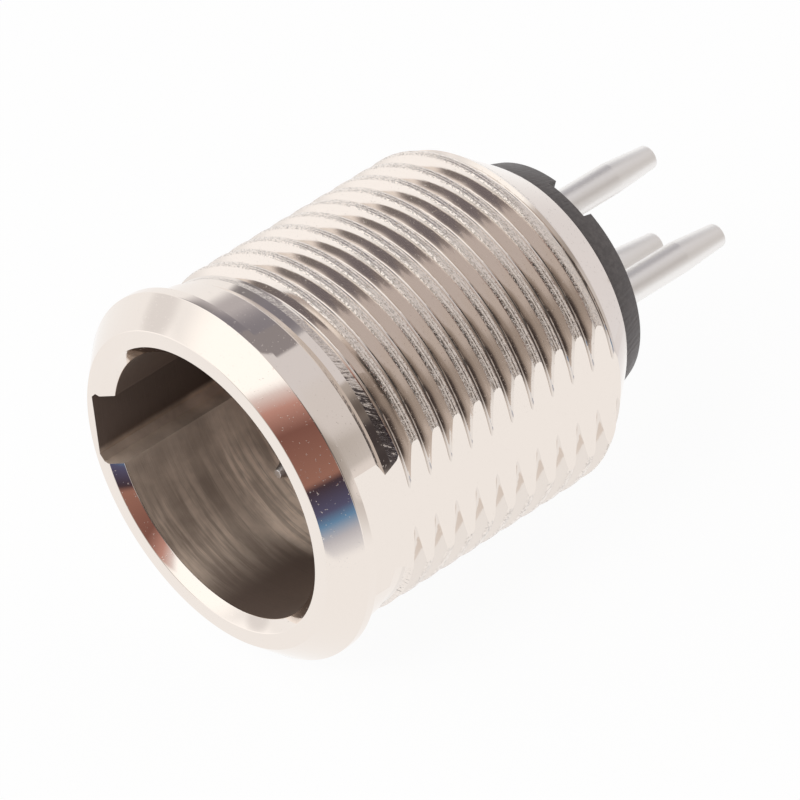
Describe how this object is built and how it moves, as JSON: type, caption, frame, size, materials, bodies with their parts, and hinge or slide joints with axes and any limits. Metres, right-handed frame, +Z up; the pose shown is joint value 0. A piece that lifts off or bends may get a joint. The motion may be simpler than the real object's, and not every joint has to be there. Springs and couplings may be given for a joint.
{
  "type": "miniature xlr panel connector",
  "caption": "Miniature male panel connector: bevelled flange, threaded barrel with one flat, keyed socket with recessed contacts, black insulator and straight round tails behind.",
  "frame": {"origin": "on the axis of the barrel, in the plane of the flange's seat, the face that lies on the panel", "axes": "+Y along the axis, from the open mouth towards the tails of the contacts; +X through the flat of the barrel, with the keyway of the socket on -X; +Z up"},
  "size_m": [0.0118, 0.0184, 0.0118],
  "materials": {
    "nickel_plated_shell": "bright nickel plating on turned brass, with fine tool marks",
    "black_moulding": "black moulded plastic, dull",
    "plated_contact": "silver-coloured plating on brass, satin"
  },
  "bodies": {
    "root": {"shell": "nickel_plated_shell", "insulator": "black_moulding", "contact_pin_1": "plated_contact", "contact_pin_2": "plated_contact", "contact_pin_3": "plated_contact"}
  },
  "joints": []
}
